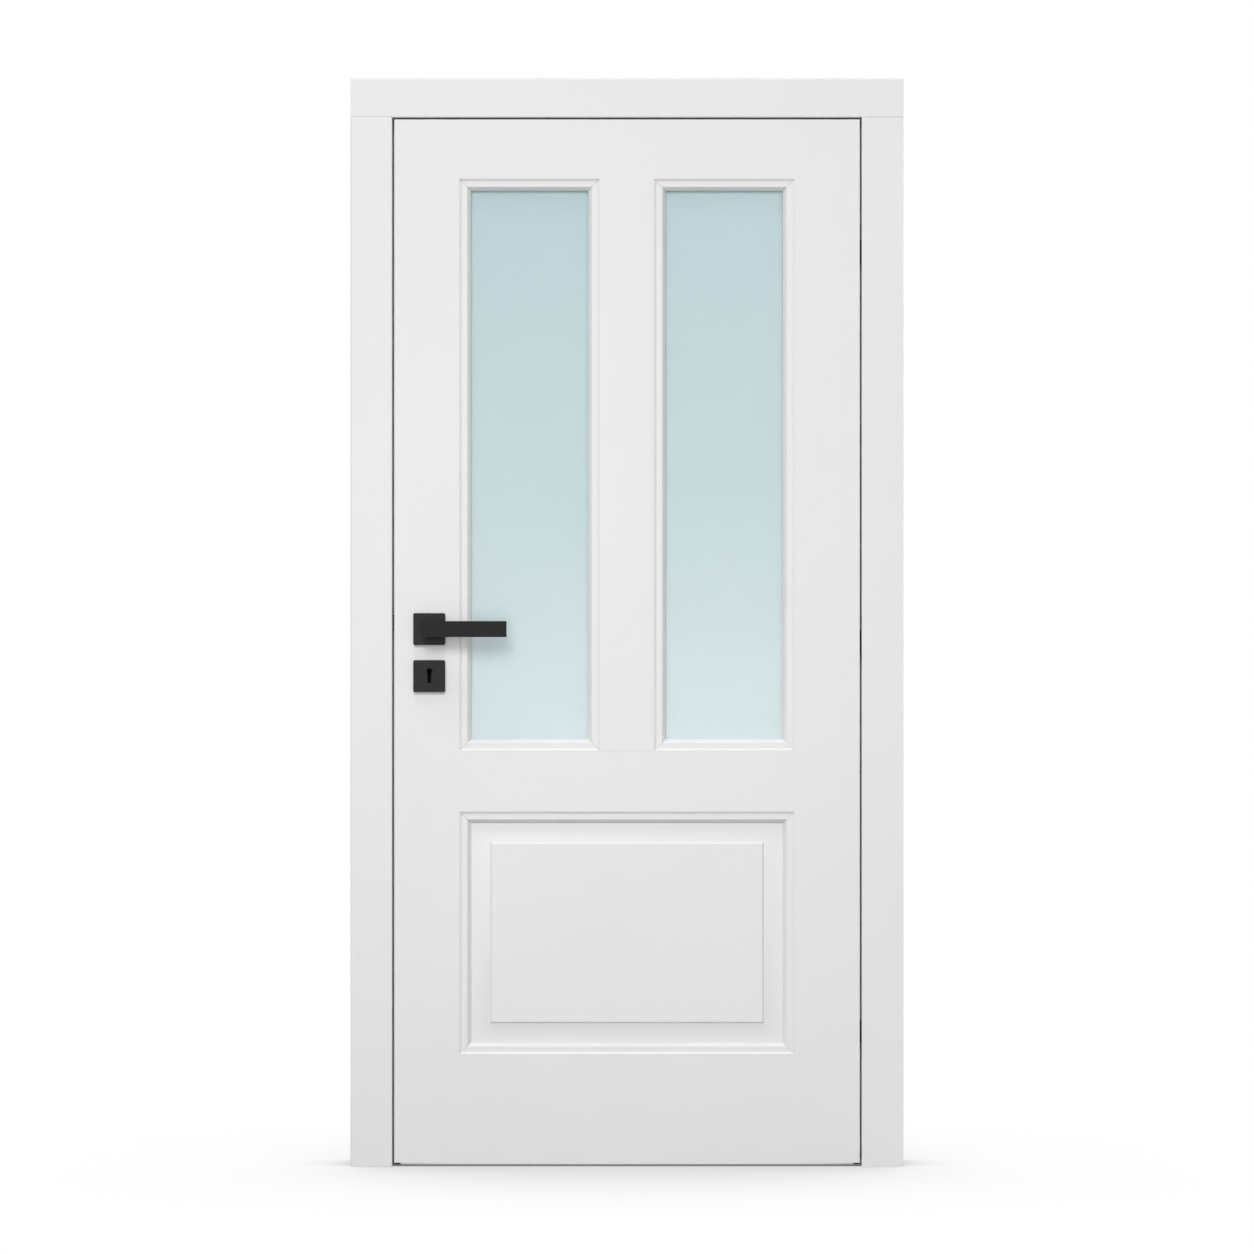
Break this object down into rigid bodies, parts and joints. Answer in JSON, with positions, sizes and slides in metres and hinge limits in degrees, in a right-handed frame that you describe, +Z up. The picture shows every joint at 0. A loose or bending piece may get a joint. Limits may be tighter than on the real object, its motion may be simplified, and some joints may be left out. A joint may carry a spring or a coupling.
{
  "type": "glazed panel door",
  "caption": "Stile-and-rail door with frosted glass lights over a raised panel, on concealed hinges, with lever handles and a mortise lock, in its lined and cased frame.",
  "frame": {"origin": "on the floor, in the middle of the box round frame and levers", "axes": "+X to the hinge side, +Y through the doorway away from the side that the leaf opens to, +Z up"},
  "size_m": [1.06, 0.174, 2.086],
  "materials": {
    "white_lacquer": "satin white lacquer on timber",
    "frosted_glass": "frosted, pale blue-grey",
    "black_metal": "matt black coat",
    "steel": "brushed",
    "zinc": "satin die-cast",
    "seal_rubber": "matt",
    "beech": "bare timber"
  },
  "bodies": {
    "frame": {"left_lining": "white_lacquer", "right_lining": "white_lacquer", "head_lining": "white_lacquer", "left_front_casing": "white_lacquer", "right_front_casing": "white_lacquer", "head_front_casing": "white_lacquer", "left_back_casing": "white_lacquer", "right_back_casing": "white_lacquer", "head_back_casing": "white_lacquer", "left_stop": "white_lacquer", "right_stop": "white_lacquer", "head_stop": "white_lacquer", "door_seal": "seal_rubber", "strike_plate": "steel", "frame_screws": "steel", "hinge_frame_pins": "steel", "top_hinge_frame_case": "zinc", "middle_hinge_frame_case": "zinc", "bottom_hinge_frame_case": "zinc"},
    "leaf": {"left_stile": "white_lacquer", "right_stile": "white_lacquer", "top_rail": "white_lacquer", "lock_rail": "white_lacquer", "bottom_rail": "white_lacquer", "muntin": "white_lacquer", "rail_dowels": "beech", "left_glass": "frosted_glass", "right_glass": "frosted_glass", "raised_panel": "white_lacquer", "left_front_beads": "white_lacquer", "left_back_beads": "white_lacquer", "right_front_beads": "white_lacquer", "right_back_beads": "white_lacquer", "panel_front_beads": "white_lacquer", "panel_back_beads": "white_lacquer", "lock_case": "zinc", "ward_plate": "steel", "lock_faceplate": "steel", "leaf_screws": "steel", "front_rose": "black_metal", "back_rose": "black_metal", "front_escutcheon": "black_metal", "back_escutcheon": "black_metal", "top_hinge_leaf_case": "zinc", "middle_hinge_leaf_case": "zinc", "bottom_hinge_leaf_case": "zinc", "hinge_leaf_pins": "steel"},
    "handle": {"front_lever": "black_metal", "back_lever": "black_metal", "spindle": "steel", "follower": "steel"},
    "latch": {"latch_bolt": "steel"},
    "bolt": {"dead_bolt": "steel"},
    "frame_arms": {"top_hinge_frame_arm": "zinc", "middle_hinge_frame_arm": "zinc", "bottom_hinge_frame_arm": "zinc", "hinge_centre_pins": "steel"},
    "leaf_arms": {"top_hinge_leaf_arm": "zinc", "middle_hinge_leaf_arm": "zinc", "bottom_hinge_leaf_arm": "zinc"}
  },
  "joints": [
    {"name": "leaf_swing", "type": "hinge", "parent": "frame", "child": "leaf", "pos_m": [0.448, -0.039, 1.007], "axis": [0, 0, 1], "range_deg": [0, 105]},
    {"name": "handle_turn", "type": "hinge", "parent": "leaf", "child": "handle", "pos_m": [-0.379, -0.015, 1.03], "axis": [0, 1, 0], "range_deg": [0, 40], "stiffness_Nm_per_rad": 2, "springref_deg": -34.38},
    {"name": "latch_slide", "type": "slide", "parent": "leaf", "child": "latch", "axis": [1, 0, 0], "range_m": [0, 0.012]},
    {"name": "bolt_throw", "type": "slide", "parent": "leaf", "child": "bolt", "axis": [-1, 0, 0], "range_m": [0, 0.02]},
    {"name": "frame_arm_swing", "type": "hinge", "parent": "frame", "child": "frame_arms", "pos_m": [0.455, -0.021, 1.007], "axis": [0, 0, 1], "range_deg": [0, 105]},
    {"name": "leaf_arm_swing", "type": "hinge", "parent": "leaf", "child": "leaf_arms", "pos_m": [0.441, -0.021, 1.007], "axis": [0, 0, 1], "range_deg": [-105, 0]}
  ],
  "couplings": [
    {"joint": "latch_slide", "follows": "handle_turn", "m_per_rad": 0.017188},
    {"joint": "frame_arm_swing", "follows": "leaf_swing", "ratio": 1},
    {"joint": "leaf_arm_swing", "follows": "leaf_swing", "ratio": -1}
  ]
}
